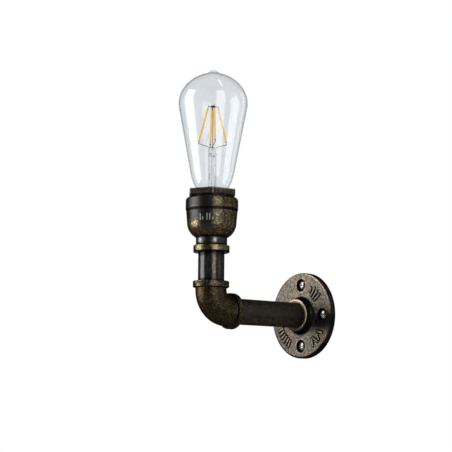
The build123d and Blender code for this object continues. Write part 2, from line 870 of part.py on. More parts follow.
# ---------------------------------------------------------------- bulb glass
# A blown envelope: exhaust pip, crown, shoulder, long cone and a heel drawn in to the neck.
crown_centre = bulb_tip + crown_height - crown_radius
pip_top = bulb_tip + crown_height + pip_height
pip_foot = (pip_base_radius, crown_centre + sqrt(crown_radius**2 - pip_base_radius**2))
crown_end = (
    crown_radius * sin(radians(crown_angle)),
    crown_centre + crown_radius * cos(radians(crown_angle)),
)
shoulder_centre = (
    (crown_radius - shoulder_radius) * sin(radians(crown_angle)),
    crown_centre + (crown_radius - shoulder_radius) * cos(radians(crown_angle)),
)
shoulder_end = (
    shoulder_centre[0] + shoulder_radius * cos(radians(cone_angle)),
    shoulder_centre[1] - shoulder_radius * sin(radians(cone_angle)),
)
cone_foot = (
    shoulder_end[0]
    - (shoulder_end[1] - bulb_tip - cone_foot_height) * tan(radians(cone_angle)),
    bulb_tip + cone_foot_height,
)
heel = (neck_radius + heel_width, cap_rim + heel_height)
neck_start = (neck_radius, cap_rim + neck_rise)
with BuildPart() as bulb_glass:
    with BuildSketch(riser_plane):
        with BuildLine():
            TangentArc((0, pip_top), pip_foot, tangent=(1, 0))
            RadiusArc(pip_foot, crown_end, crown_radius)
            RadiusArc(crown_end, shoulder_end, shoulder_radius)
            side = Line(shoulder_end, cone_foot)
            TangentArc(cone_foot, heel, tangent=side % 1)
            Polyline(heel, neck_start, (neck_radius, neck_bottom), (0, neck_bottom), (0, pip_top))
        make_face()
        fillet(vertices().sort_by_distance(pip_foot)[0], pip_blend)
        fillet(vertices().sort_by_distance(heel)[0], heel_fillet)
        fillet(vertices().sort_by_distance(neck_start)[0], neck_fillet)
    revolve(axis=riser_axis)
    offset(amount=-glass_wall, openings=faces().sort_by(Axis.Z)[0])
bulb_glass.part.label = "bulb_glass"
export_step(bulb_glass.part, "parts/bulb_glass.step")

# ---------------------------------------------------------------- glass stem
# A tube with its foot flared to the neck's wall, and its top pressed flat round the wires.
flare_radius = neck_radius - glass_wall - flare_gap
flare_top = neck_bottom + flare_height
stem_bore_radius = stem_radius - stem_wall
with BuildPart() as bulb_stem:
    with BuildSketch(riser_plane):
        with BuildLine():
            Line((stem_radius, press_bottom), (stem_radius, flare_top))
            TangentArc((stem_radius, flare_top), (flare_radius, neck_bottom), tangent=(0, -1))
            Line((flare_radius, neck_bottom), (flare_radius - stem_wall, neck_bottom))
            TangentArc(
                (stem_bore_radius, flare_top - stem_wall),
                (flare_radius - stem_wall, neck_bottom),
                tangent=(0, -1),
            )
            Polyline(
                (stem_bore_radius, flare_top - stem_wall),
                (stem_bore_radius, press_bottom),
                (stem_radius, press_bottom),
            )
        make_face()
    revolve(axis=riser_axis)
    with BuildSketch(level(press_bottom)):
        Circle(stem_radius)
    with BuildSketch(level(press_bottom + press_blend)):
        Ellipse(press_width / 2, press_thickness / 2, rotation=filament_turn)
    loft()
    with BuildSketch(level(press_bottom + press_blend)):
        Ellipse(press_width / 2, press_thickness / 2, rotation=filament_turn)
    extrude(amount=press_height - press_blend)
    with BuildSketch(level(press_bottom)):
        with Locations(Rot(0, 0, filament_turn)):
            with GridLocations(wire_spacing, 0, filament_count, 1):
                Circle(wire_radius + wire_room)
            Circle(wire_radius + wire_room)
    extrude(amount=press_height, mode=Mode.SUBTRACT)
bulb_stem.part.label = "bulb_stem"
export_step(bulb_stem.part, "parts/bulb_stem.step")

with BuildPart() as exhaust_tube:
    with BuildSketch(level(neck_bottom + driver_gap)):
        Circle(exhaust_radius)
        Circle(exhaust_radius - exhaust_wall, mode=Mode.SUBTRACT)
    extrude(amount=press_bottom - neck_bottom - driver_gap - seat_gap)
exhaust_tube.part.label = "exhaust_tube"
export_step(exhaust_tube.part, "parts/exhaust_tube.step")

# ---------------------------------------------------------------- filaments and wires
# Four coated sticks lean in towards the top, a quarter turn apart, with a metal tab at each end.
# Each stands on its own wire from the press, which ends in a weld bead under the lower tab.
# The two outer wires run down to the driver.
wire_names = ("lead_in_wire_1", "anchor_wire_1", "lead_in_wire_2", "anchor_wire_2")
wire_places = (1.5 * wire_spacing, 0.5 * wire_spacing, -1.5 * wire_spacing, -0.5 * wire_spacing)
wire_feet = (board_top + driver_gap, press_top - anchor_depth) * 2
for number in range(filament_count):
    bearing = filament_turn + 360 / filament_count * number
    foot = around(filament_foot_radius, bearing, filament_foot)
    crown = around(filament_top_radius, bearing, filament_top)
    lean = (crown - foot).normalized()
    tangent = around(1, bearing + 90, 0) - around(0, 0, 0)
    with BuildPart() as filament:
        with BuildSketch(Plane(foot, x_dir=tangent, z_dir=lean)):
            Rectangle(filament_tab_width, filament_tab_thickness)
        extrude(amount=(crown - foot).length)
        with BuildSketch(Plane(foot + lean * filament_tab_length, x_dir=tangent, z_dir=lean)):
            Circle(filament_radius)
        extrude(amount=(crown - foot).length - 2 * filament_tab_length)
    filament.part.label = f"filament_{number + 1}"
    export_step(filament.part, f"parts/filament_{number + 1}.step")

    start = around(wire_places[number], filament_turn, wire_feet[number])
    knee = around(wire_places[number], filament_turn, press_top + wire_rise)
    tip = foot - Vector(0, 0, weld_bead_radius + weld_gap)
    with BuildPart() as wire:
        with BuildLine() as wire_route:
            FilletPolyline(start, knee, tip, radius=wire_bend_radius)
        with BuildSketch(Plane(start)):
            Circle(wire_radius)
        sweep(path=wire_route.wires()[0])
        with Locations(Plane(tip, x_dir=foot - tip, z_dir=tangent)):
            Sphere(weld_bead_radius)
    wire.part.label = wire_names[number]
    export_step(wire.part, f"parts/{wire_names[number]}.step")

# A mast stands in the press. The bead on top of it carries four arms, and the weld bead at the
# end of each arm is over a filament's upper tab.
star_height = filament_top + weld_bead_radius + weld_gap
with BuildPart() as hub_wire:
    with BuildSketch(level(press_top - mast_depth)):
        Circle(wire_radius)
    extrude(amount=star_height - press_top + mast_depth)
    with Locations(level(star_height)):
        Cylinder(hub_bead_radius, hub_bead_height)
    for number in range(filament_count):
        bearing = filament_turn + 360 / filament_count * number
        outward = around(1, bearing, 0) - around(0, 0, 0)
        with BuildSketch(Plane(around(0, 0, star_height), z_dir=outward)):
            Circle(wire_radius)
        extrude(amount=filament_top_radius)
        with Locations(around(filament_top_radius, bearing, star_height)):
            Sphere(weld_bead_radius)
hub_wire.part.label = "hub_wire"
export_step(hub_wire.part, "parts/hub_wire.step")

# ---------------------------------------------------------------- driver
# A small board on edge across the cap, with its capacitor standing beside it.
with BuildPart() as driver_board:
    with BuildSketch(level(board_bottom)):
        Rectangle(board_width, board_thickness, rotation=filament_turn)
    extrude(amount=board_top - board_bottom)
driver_board.part.label = "driver_board"
export_step(driver_board.part, "parts/driver_board.step")

with BuildPart() as driver_capacitor:
    with BuildSketch(level(board_bottom)):
        with Locations(Rot(0, 0, filament_turn)):
            with Locations((0, board_thickness / 2 + driver_gap + capacitor_radius)):
                Circle(capacitor_radius)
    extrude(amount=capacitor_length)
driver_capacitor.part.label = "driver_capacitor"
export_step(driver_capacitor.part, "parts/driver_capacitor.step")
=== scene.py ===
from math import cos, pi, radians, sin, tan

import bpy
import numpy as np
from mathutils import Matrix, Vector


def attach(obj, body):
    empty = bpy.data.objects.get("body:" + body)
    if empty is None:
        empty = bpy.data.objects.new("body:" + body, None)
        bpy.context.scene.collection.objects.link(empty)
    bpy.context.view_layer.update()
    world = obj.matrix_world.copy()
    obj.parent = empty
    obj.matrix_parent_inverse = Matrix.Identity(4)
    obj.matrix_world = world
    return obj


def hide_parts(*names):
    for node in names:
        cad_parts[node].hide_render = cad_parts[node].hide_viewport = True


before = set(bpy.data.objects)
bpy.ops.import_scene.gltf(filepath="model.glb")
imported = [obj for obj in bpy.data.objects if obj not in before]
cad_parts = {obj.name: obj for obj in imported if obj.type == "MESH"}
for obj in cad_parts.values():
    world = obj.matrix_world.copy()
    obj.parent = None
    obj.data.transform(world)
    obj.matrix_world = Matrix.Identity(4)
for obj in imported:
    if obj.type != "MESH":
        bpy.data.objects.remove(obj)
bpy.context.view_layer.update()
scene = bpy.context.scene
scene.view_settings.view_transform = "Standard"

# ---------------------------------------------------------------- studio
# A pale room for photographs: a floor well below the light, a white backdrop, and a camera that
# stands a little lower than the arm and looks up. Tall soft boxes stand to its left and right,
# with one more behind the light, and a slim lamp hangs overhead.


class Wire:
    """One output of a node. Each operator on it adds a Math node and gives that node's output."""

    def __init__(self, tree, socket):
        self.tree, self.socket = tree, socket

    def math(self, operation, *terms):
        return self.tree.node("Math", {"operation": operation}, dict(enumerate(terms)))

    def __add__(self, other):
        return self.math("ADD", self, other)

    def __sub__(self, other):
        return self.math("SUBTRACT", self, other)

    def __rsub__(self, other):
        return self.math("SUBTRACT", other, self)

    def __mul__(self, other):
        return self.math("MULTIPLY", self, other)

    def __truediv__(self, other):
        return self.math("DIVIDE", self, other)

    def __pow__(self, other):
        return self.math("POWER", self, other)

    def __abs__(self):
        return self.math("ABSOLUTE", self)

    __radd__ = __add__
    __rmul__ = __mul__

    def over(self, other):
        """The larger of the two, point by point."""
        return self.math("MAXIMUM", self, other)

    def under(self, other):
        """The smaller of the two, point by point."""
        return self.math("MINIMUM", self, other)

    def rise(self, low, high):
        """A smooth step from 0 at low to 1 at high. With low above high it falls instead."""
        ends = {"From Min": low, "From Max": high, "Value": self}
        return self.tree.node("MapRange", {"interpolation_type": "SMOOTHSTEP"}, ends)

    def near(self, middle, width):
        """1 at the middle, falling smoothly to 0 at a width to either side."""
        return abs(self - middle).rise(width, 0)


class Tree:
    """The nodes of one material, of a lamp or of the world."""

    def __init__(self, owner):
        owner.use_nodes = True
        self.nodes, self.links = owner.node_tree.nodes, owner.node_tree.links
        self.nodes.clear()

    def node(self, kind, settings=None, sockets=None, out=0):
        """One node of any kind: its settings first, then its sockets' values or links."""
        made = self.nodes.new("ShaderNode" + kind)
        for name, value in (settings or {}).items():
            setattr(made, name, value)
        for name, value in (sockets or {}).items():
            if isinstance(value, Wire):
                self.links.new(value.socket, made.inputs[name])
            else:
                made.inputs[name].default_value = value
        return Wire(self, made.outputs[out]) if len(made.outputs) else None

    def mix(self, amount, first, second):
        """The first colour where amount is 0 and the second where it is 1."""
        return self.node("Mix", {"data_type": "RGBA"}, {0: amount, 6: first, 7: second}, 2)

    def noise(self, place, size, detail=2.0, rough=0.5):
        """Cloudy noise about 0.5, with clouds of a size in metres."""
        sockets = {"Vector": place, "Scale": 1 / size, "Detail": detail, "Roughness": rough}
        return self.node("TexNoise", {}, sockets)


camera_bearing, camera_height, camera_roll = radians(50.69), radians(-7.69), radians(0.60)
camera_distance, camera_across, camera_up = 1.300, -0.0851, 0.0964
focal_pixels, picture_pixels, sensor_width = 1213.0, 452, 36.0
backward = Vector((
    sin(camera_bearing) * cos(camera_height),
    -cos(camera_bearing) * cos(camera_height),
    sin(camera_height),
))
level_right = Vector((cos(camera_bearing), sin(camera_bearing), 0))
level_up = backward.cross(level_right)
right = cos(camera_roll) * level_right + sin(camera_roll) * level_up
up = cos(camera_roll) * level_up - sin(camera_roll) * level_right
camera = bpy.data.objects.new("camera", bpy.data.cameras.new("camera"))
camera.data.sensor_width = sensor_width
camera.data.lens = sensor_width * focal_pixels / picture_pixels
camera.data.clip_start, camera.data.clip_end = 0.01, 30
camera.matrix_world = Matrix.Translation(
    camera_distance * backward + camera_across * right + camera_up * up
) @ Matrix((right, up, backward)).transposed().to_4x4()
scene.collection.objects.link(camera)
scene.camera = camera

# The world is white where the camera, or glass in its view, looks past the object. Metal and
# glass mirror that white backdrop where it hangs, behind the object, and a dim room elsewhere.
# To the rest the world is soft fill light.
fill_light, dim_room = 0.42, 0.035
backdrop_edge, backdrop_full = radians(22), radians(14)
world = bpy.data.worlds.new("studio")
scene.world = world
room = Tree(world)
seen_direct = room.node("LightPath", out="Is Camera Ray")
seen_through = room.node("LightPath", out="Is Transmission Ray")
seen_mirrored = room.node("LightPath", out="Is Glossy Ray")
looking = room.node("TexCoord", out="Generated")
behind = room.node("VectorMath", {"operation": "DOT_PRODUCT"}, {0: looking, 1: -backward}, "Value")
backdrop = behind.rise(cos(backdrop_edge), cos(backdrop_full))
white = (seen_direct + seen_through + seen_mirrored * backdrop).under(1.0)
strength = white + (1 - white) * (fill_light + seen_mirrored * (dim_room - fill_light))
sky = room.node("Background", {}, {"Strength": strength, "Color": (1, 1, 1, 1)})
room.node("OutputWorld", {}, {"Surface": sky})


glass_faces, lit_point = 4, Vector((0, -0.09, 0.13))


def out_of_sight(holder):
    """The lamp lights and is mirrored, and isn't seen itself, directly or through the bulb,
    where a ray crosses four faces of glass."""
    rig = Tree(holder.data)
    crossed = rig.node("LightPath", out="Transmission Depth")
    through = crossed.math("GREATER_THAN", crossed, glass_faces - 0.5)
    mirrored = rig.node("LightPath", out="Glossy Depth").under(1.0)
    shine = rig.node("Emission", {}, {"Strength": 1 - through * (1 - mirrored)})
    rig.node("OutputLight", {}, {"Surface": shine})
    holder.visible_camera = False


def soft_box(name, bearing, low, high, width, glow):
    """A tall lamp a metre off, at a bearing in degrees right of the camera. It reaches from low
    to high about the height of the lit point, and its power is glow times pi times its area."""
    angle = radians(bearing)
    ahead = Vector((sin(camera_bearing), -cos(camera_bearing), 0))
    outward = cos(angle) * ahead + sin(angle) * level_right
    lamp = bpy.data.lights.new(name, "AREA")
    lamp.shape = "RECTANGLE"
    lamp.size, lamp.size_y = width, high - low
    lamp.energy = glow * pi * width * (high - low)
    holder = bpy.data.objects.new(name, lamp)
    place = lit_point + outward + Vector((0, 0, (low + high) / 2))
    upright = Vector((0, 0, 1))
    holder.matrix_world = Matrix.Translation(place) @ Matrix(
        (upright.cross(outward), upright, outward)
    ).transposed().to_4x4()
    out_of_sight(holder)
    scene.collection.objects.link(holder)


soft_box("left_box", -85, -0.45, 0.86, 0.72, 3.3)
soft_box("near_box", 24, -0.45, 0.86, 0.52, 2.5)
soft_box("right_box", 75, -0.45, 0.74, 0.66, 0.46)
soft_box("rear_box", 118, -0.45, 0.74, 0.36, 0.42)

# One slim lamp hangs overhead and a little in front.
top_height, top_forward, top_right, top_turn, top_glow = 1.25, 0.2, 0.3, radians(80), 10
top_lamp = bpy.data.lights.new("top_box", "AREA")
top_lamp.shape = "RECTANGLE"
top_lamp.size, top_lamp.size_y = 0.03, 0.60
top_lamp.energy = top_glow * pi * top_lamp.size * top_lamp.size_y
top_holder = bpy.data.objects.new("top_box", top_lamp)
top_holder.location = Vector((0, -0.13, top_height)) + top_forward * backward + top_right * right
top_holder.rotation_euler = (0, 0, top_turn)
out_of_sight(top_holder)
scene.collection.objects.link(top_holder)

# The floor is a pale disc. The camera sees it nearly white, with the object's soft shadow on it,
# and metal and glass mirror it as dim as the room.
floor_height, floor_radius, floor_share, floor_sides = -0.42, 4.5, 0.12, 96
angles = np.linspace(0, 2 * pi, floor_sides + 1)[:-1]
rim = np.stack([floor_radius * np.cos(angles), floor_radius * np.sin(angles)], axis=1)
disc = np.concatenate([rim, np.full((floor_sides, 1), floor_height)], axis=1)
floor_mesh = bpy.data.meshes.new("floor")
floor_mesh.from_pydata(disc.tolist(), [], [list(range(floor_sides))])
floor = bpy.data.objects.new("floor", floor_mesh)
scene.collection.objects.link(floor)
floor_finish = bpy.data.materials.new("pale_floor")
floor_mesh.materials.append(floor_finish)
boards = Tree(floor_finish)
mirrored = boards.node("LightPath", out="Is Glossy Ray")
shown = boards.mix(mirrored, (0.82, 0.82, 0.82, 1), (0.28, 0.25, 0.22, 1))
matt = boards.node("BsdfDiffuse", {}, {"Color": shown})
lit = boards.node("Emission", {}, {"Color": (1, 1, 1, 1), "Strength": 1.0})
direct = boards.node("LightPath", out="Is Camera Ray")
through = boards.node("LightPath", out="Is Transmission Ray")
share = (direct + through).under(1.0) * (1 - floor_share)
blend = boards.node("MixShader", {}, {0: share, 1: matt, 2: lit})
boards.node("OutputMaterial", {}, {"Surface": blend})

# ---------------------------------------------------------------- wall flange
# The round casting screwed to the wall: grey iron under a black wash, rubbed back to a dull
# taupe on its face and to gold on the hub's rim, with painted shade and painted highlights over
# both, and raised tally marks cast between the screws.


def dress(node, finish):
    """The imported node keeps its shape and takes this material."""
    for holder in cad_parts[node].material_slots:
        holder.material = finish


def surface(name):
    """A new material: itself, its tree, the place on the object, and that place's x, y and z."""
    finish = bpy.data.materials.new(name)
    tree = Tree(finish)
    place = tree.node("TexCoord", out="Object")
    return finish, tree, place, *(tree.node("SeparateXYZ", {}, {0: place}, a) for a in "XYZ")


def principled(tree, **sockets):
    """The tree's surface shader. A socket's name has _ where the shader has a space."""
    names = {name.replace("_", " "): value for name, value in sockets.items()}
    shader = tree.node("BsdfPrincipled", {}, names)
    tree.node("OutputMaterial", {}, {"Surface": shader})


soot_and_shade_black, bare_iron_and_highlight = (0.012, 0.011, 0.010, 1), (0.42, 0.41, 0.40, 1)


def casting(
    name, rubbing_and_light, wash, metal, gold=(0.31, 0.265, 0.165, 1), thin=(0.050, 0.040, 0.027, 1),
    gloss=0.23,
):
    """Cast iron with a dark satin wash over bronze, from masks of where it is rubbed and where
    light and shade are painted.

    The second argument gives four masks from the place. The first is black: the wash where it
    lies black, and also painted shade. The second is thin brown wash with flecks of dim metal,
    from real scuffing and also painted light. The third is gold: bands rubbed to gold, and also
    painted highlights. The fourth is grey iron: an edge rubbed bare, and also painted highlights.
    A cloudy noise of 14 mm makes them uneven. The mould's grain, 1 to 2 mm across, makes the
    flecks, and shows as a bump that glitters.
    """
    finish, tree, place, x, y, z = surface(name)
    cloud = tree.noise(place, 0.014, 3.0)
    grain = tree.noise(place, 0.0021, 3.0, 0.75)
    fleck = grain.rise(0.48, 0.62)
    # These masks hold painted shade and painted highlights as well as the wash and its scuffing.
    soot_and_shade, worn_and_lit, bright, bare = rubbing_and_light(x, y, z)
    uneven = cloud - 0.5
    soot_and_shade = (soot_and_shade + uneven * 0.4).rise(0.30, 0.85)
    flecked = (worn_and_lit * (0.15 + fleck * 1.6) + uneven * 0.3).rise(0.08, 0.95)
    bright = (bright * (0.72 + fleck * 0.55) + uneven * 0.3).rise(0.35, 1.0)
    bare = (bare * (0.80 + fleck * 0.4)).rise(0.1, 1.0)
    colour = tree.mix(flecked, tree.mix(worn_and_lit.rise(0.15, 0.7), wash, thin), metal)
    colour = tree.mix(bright, colour, gold)
    colour = tree.mix(bare, colour, bare_iron_and_highlight)
    principled(
        tree,
        Base_Color=tree.mix(soot_and_shade, colour, soot_and_shade_black),
        Metallic=0.92,
        Roughness=gloss - bright * 0.07 + soot_and_shade * 0.12 + (grain - 0.5) * 0.35,
        Specular_Tint=(0.30, 0.28, 0.26, 1),
        Normal=tree.node("Bump", {}, {"Strength": 0.6, "Distance": 0.0005, "Height": grain}),
    )
    return finish


flange_outer, hub_foot, screw_ring = 0.0456, 0.0193, 0.0325
face_depth, hub_depth = -0.0068, -0.0155


def off_screw(x, z):
    """How far a place lies off the nearest screw's axis: the root of the squares of its longer
    side less the ring's radius, and its shorter side."""
    longer, shorter = abs(x).over(abs(z)), abs(x).under(abs(z))
    return ((longer - screw_ring) ** 2 + shorter * shorter) ** 0.5


def flange_rubbing_and_light(x, y, z):
    """Rubbed thin over the face, and painted lighter towards its top, where light falls. Black
    round the hub's foot, on its sloping side and on the outer wall. Painted shade in the screw
    holes, along the lower rim, on the lower half of the hub's front and in a wide patch beside the
    right screw. Gold on the hub's front rim, painted brightest at its top and right as a highlight.
    Painted highlights on the face's right edge, round each counterbore's mouth and in an arc on
    the hub's sloping side. The back is ground flat."""
    out = (x * x + z * z) ** 0.5
    from_screw = off_screw(x, z)
    behind = y.rise(face_depth + 0.0004, face_depth + 0.0012)
    seam = y.near(-0.0034, 0.0010)
    root = out.rise(hub_foot + 0.0045, hub_foot - 0.001)
    # Painted shade in the counterbores, in a patch beside the right screw and along the lower rim.
    hole_shade = from_screw.rise(0.0073, 0.0064)
    shade = (x - z * 0.5).rise(0.010, 0.030) * (z + 0.007).near(0, 0.022)
    low_edge_shade = out.rise(flange_outer - 0.0027, flange_outer - 0.0014) * (x * 0.5 + z).rise(0, -0.02)
    front = y.rise(hub_depth + 0.0016, hub_depth + 0.0006)
    hub = y.rise(face_depth - 0.0006, face_depth - 0.0016) * (1 - front)
    soot_and_shade = (behind - seam * 0.6).over(root * (1 - front)).over(hole_shade).over(shade * 0.85)
    # Painted shade on the lower half of the hub's front as well.
    soot_and_shade = soot_and_shade.over(hub * 0.85).over(low_edge_shade).over(front * z.rise(0.002, -0.010) * 0.68)
    # Painted highlights: the face's right edge, the hub rim's crescent at its top and right, a ring
    # round each counterbore's mouth, and an arc on the hub's side.
    edge = out.near(flange_outer - 0.0016, 0.0013) * x.rise(0, 0.012) * (1 - soot_and_shade)
    crescent = front * out.rise(0.0144, 0.0160) * (z * 22 + x * 10).rise(-0.45, 0.15)
    ring = from_screw.near(0.0078, 0.0008) * (1 - soot_and_shade) * (1 - shade)
    flank_highlight = y.near(-0.0092, 0.0012) * x.rise(0.006, 0.014) * z.near(0.003, 0.011)
    back = y.rise(-0.0004, -0.0001)
    soot_and_shade = soot_and_shade * (1 - crescent) * (1 - flank_highlight * 0.5) * (1 - back * 0.8)
    # Painted light: the face is lighter towards its top.
    worn_and_lit = 0.48 + z.rise(-0.030, 0.030) * 0.55 - soot_and_shade * 0.5
    return soot_and_shade, worn_and_lit, crescent * 1.25 + edge * 0.95 + ring * 0.8, flank_highlight * 0.6 + back * 0.3


flange_finish = casting(
    "flange_casting", flange_rubbing_and_light, (0.082, 0.072, 0.061, 1), (0.245, 0.207, 0.167, 1),
    gold=(0.52, 0.43, 0.28, 1), thin=(0.095, 0.080, 0.065, 1), gloss=0.40,
)
dress("wall_flange", flange_finish)


def skin(name, points, finish, ring=False):
    """A mesh over a grid of points, whose rows each close on themselves.

    Rows run up the outside and down the inside, so that faces look outwards. With ring the last
    row joins the first. A row whose points coincide is one vertex, a pole, which closes in
    triangles, and two poles in a row aren't joined.
    """
    rows, columns = points.shape[:2]
    number = np.arange(rows * columns).reshape(rows, columns)
    pole = np.ptp(points, axis=1).max(axis=1) < 1e-9
    number[pole] = number[pole][:, :1]
    lower, upper = (number, np.roll(number, -1, 0)) if ring else (number[:-1], number[1:])
    quads = np.stack([lower, np.roll(lower, -1, 1), np.roll(upper, -1, 1), upper], -1)
    used, quads = np.unique(quads.reshape(-1, 4), return_inverse=True)
    quads = quads.reshape(-1, 4)
    below, above = quads[:, 0] == quads[:, 1], quads[:, 2] == quads[:, 3]
    faces = quads[~below & ~above].tolist()
    faces += quads[below & ~above][:, [0, 2, 3]].tolist()
    faces += quads[above & ~below][:, :3].tolist()
    mesh = bpy.data.meshes.new(name)
    mesh.from_pydata(points.reshape(-1, 3)[used].tolist(), [], faces)
    mesh.shade_smooth()
    mesh.materials.append(finish)
    piece = bpy.data.objects.new(name, mesh)
    scene.collection.objects.link(piece)
    return piece


def around(count):
    """Equal steps of angle once round, from 0."""
    return np.linspace(0, 2 * pi, count + 1)[:-1]


def joined(name, pieces):
    """Several new pieces made into one, under one name."""
    with bpy.context.temp_override(
        active_object=pieces[0], selected_editable_objects=pieces, selected_objects=pieces
    ):
        bpy.ops.object.join()
    pieces[0].name = pieces[0].data.name = name
    return pieces[0]


def cast_bar(name, finish, place, half_length, half_width, rise, skirt):
    """One raised bar with round ends and sloping sides, laid by place(along, across, out).

    Round the bar an angle t gives the outline: along is half_length times tanh(3 cos t) plus
    half_width times cos t, across is half_width times sin t. Rings of that outline, each drawn
    in by a share of the width, climb from the edge of its skirt to the top, where they close.
    """
    t = around(28)
    reach = skirt / half_width
    draw_in = np.array([-reach - 0.1, -reach, -0.2, 0.0, 0.22, 0.5, 1.0])[:, None]
    climb = np.array([-0.5, 0.06, 0.10, 0.22, 0.85, 1.0, 1.0])[:, None] * rise
    along = half_length * np.tanh(3 * np.cos(t)) * np.where(draw_in < 1, 1, 0)
    along = along + half_width * (1 - draw_in) * np.cos(t)
    across = half_width * (1 - draw_in) * np.sin(t)
    return skin(name, place(along, across, climb + 0 * t), finish)


def tally_rubbing(x, y, z):
    """Rubbed on top, black on the sloping sides and the skirt."""
    top = y.rise(face_depth - 0.00050, face_depth - 0.00080)
    return 1 - top, top, top * 0.3, z * 0


def on_flange(bearing, radius, lean):
    """Places a mark on the flange's face: its length points out from the hub, leant by lean."""
    turn, slant = radians(bearing), radians(bearing + lean)
    middle = radius * np.array([cos(turn), sin(turn)])
    length, width = np.array([cos(slant), sin(slant)]), np.array([-sin(slant), cos(slant)])

    def place(along, across, out):
        flat = middle + along[..., None] * length + across[..., None] * width
        return np.stack([flat[..., 0], face_depth - out, flat[..., 1]], axis=-1)

    return place


tally_finish = casting(
    "tally_casting", tally_rubbing, (0.15, 0.13, 0.11, 1), (0.34, 0.29, 0.24, 1),
    thin=(0.15, 0.13, 0.11, 1), gloss=0.40,
)
bar_half_width, bar_rise, bar_skirt = 0.0012, 0.0010, 0.0010
# Each bar's bearing and lean in degrees, its half length in millimetres, and its radius: three
# long strokes and a short one, a zigzag of four, and a row of six.
bars = [(36.5, 0, 4.7, 0.0310), (44.5, 0, 4.7, 0.0310), (52.5, 0, 4.7, 0.0310)]
bars += [(60.5, 0, 2.0, 0.0310)]
bars += [(-32 - 8.6 * step, (18, -18)[step % 2], 4.0, 0.0342) for step in range(4)]
bars += [(-121 - 6.8 * step, 0, 3.7, 0.0345) for step in range(6)]
flange_marks = joined("flange_marks", [
    cast_bar(
        f"bar_{number}", tally_finish, on_flange(bearing, radius, lean), half / 1000,
        bar_half_width, bar_rise, bar_skirt,
    )
    for number, (bearing, lean, half, radius) in enumerate(bars)
])
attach(flange_marks, "fixture")

# ---------------------------------------------------------------- flange screws
# Bright plated machine screws with domed pan heads and a cross recess. Each was driven home by
# hand, so that their recesses stand at different angles.


def brushed(name, colour, rough, metallic=1.0, grime_and_shade=None):
    """Plated or bare metal: even, with slight stains in its colour and gloss. An optional mask from
    the place darkens it where it is grimy and where shade is painted."""
    stain, cloud_size, grime_and_shade_black = 0.12, 0.003, (0.01, 0.01, 0.01, 1)
    finish, tree, place, x, y, z = surface(name)
    cloud = tree.noise(place, cloud_size, 3.0)
    fine = tree.noise(place, cloud_size / 8, 2.0)
    darker = tuple(c * 0.55 for c in colour[:3]) + (1,)
    clean = tree.mix(cloud.rise(0.52, 0.78) * stain * 4, colour, darker)
    principled(
        tree,
        Base_Color=tree.mix(grime_and_shade(x, y, z), clean, grime_and_shade_black) if grime_and_shade else clean,
        Metallic=metallic,
        Roughness=rough + (cloud - 0.5) * stain + (fine - 0.5) * stain,
    )
    return finish


def threaded(radius, height, angle, pitch, deep, first, last):
    """How far a right-handed thread moves the skin outwards: deep times the cosine of the
    turns climbed less the angle, fading out within half a pitch of its first and last height."""
    wave = np.cos(2 * pi * height / pitch - angle)
    start = np.clip((height - first) / (pitch / 2), 0, 1)
    stop = np.clip((last - height) / (pitch / 2), 0, 1)
    return radius + deep * wave * start * stop


def swept(outline, turns):
    """An outline's distances from its axis and its heights, the same at every turn."""
    return outline[:, :1] + 0 * turns, outline[:, 1:] + 0 * turns


def spaced(corners, step):
    """Points along straight runs between corners, no more than a step apart."""
    corners = np.array(corners, float)
    counts = np.maximum(1, np.ceil(np.linalg.norm(np.diff(corners, axis=0), axis=1) / step))
    runs = [
        np.linspace(a, b, int(n) + 1)[:-1] for a, b, n in zip(corners, corners[1:], counts)
    ]
    return np.concatenate([*runs, corners[-1:]])


screw_seat, screw_tip = 0.00365, -0.00835
head_radius, head_height, head_dome = 0.0048, 0.0029, 0.0016
thread_radius, shank_radius, screw_pitch, screw_thread_depth = 0.00185, 0.00200, 0.0007, 0.00017
recess_reach, recess_width, recess_depth = 0.0020, 0.00042, 0.0015
recess_side_slope, recess_end_slope, screw_angles = 0.0001, 0.0005, (18, 61, 37, 80)


def in_recess(x, y, z):
    """Painted shade, dark round each head's edge, and a little darker in its recess."""
    from_screw = off_screw(x, z)
    return (from_screw.rise(0.0014, 0.0008) * 0.2).over(from_screw.rise(0.0038, 0.0046) * 0.8)


screw_finish = brushed("screw_plating", (0.44, 0.45, 0.45, 1), 0.22, grime_and_shade=in_recess)
dome_across = np.linspace(1, 0, 34)[:, None]
dome = np.concatenate([
    head_radius * dome_across,
    screw_seat + head_height - head_dome * dome_across ** 2.2,
], axis=1)
edge_of_head = head_radius, screw_seat + head_height - head_dome
screw_outline = np.concatenate([
    spaced([
        (0, screw_tip), (thread_radius - 0.0005, screw_tip),
        (thread_radius, screw_tip + 0.0005), (thread_radius, 0), (shank_radius, 0.0001),
        (shank_radius, screw_seat), (head_radius - 0.0002, screw_seat),
        (head_radius, screw_seat + 0.0002), edge_of_head,
    ], 0.00012),
    dome[1:],
])
turns = around(96)
outward, rise = swept(screw_outline, turns)
outward = np.where(
    (rise < 0) & (outward > 0.0014),
    threaded(outward, rise, turns, screw_pitch, screw_thread_depth, screw_tip, 0.0),
    outward,
)
flat_x, flat_y = outward * np.cos(turns), outward * np.sin(turns)
beside = np.minimum(np.abs(flat_x), np.abs(flat_y))
reach = np.maximum(np.abs(flat_x), np.abs(flat_y))
cross = np.clip((recess_width - beside) / recess_side_slope + 0.5, 0, 1)
cross = cross * np.clip((recess_reach - reach) / recess_end_slope, 0, 1)
rise = rise - np.where(rise > edge_of_head[1], recess_depth * cross, 0)
screws = []
for number, driven in enumerate(screw_angles):
    turn, drive = radians(90 * number), radians(driven)
    side = flat_x * cos(drive) - flat_y * sin(drive) + screw_ring * cos(turn)
    high = flat_x * sin(drive) + flat_y * cos(drive) + screw_ring * sin(turn)
    screws.append(skin(f"screw_{number}", np.stack([side, -rise, high], -1), screw_finish))
wall_screws = joined("wall_screws", screws)
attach(wall_screws, "fixture")
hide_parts("flange_screws")

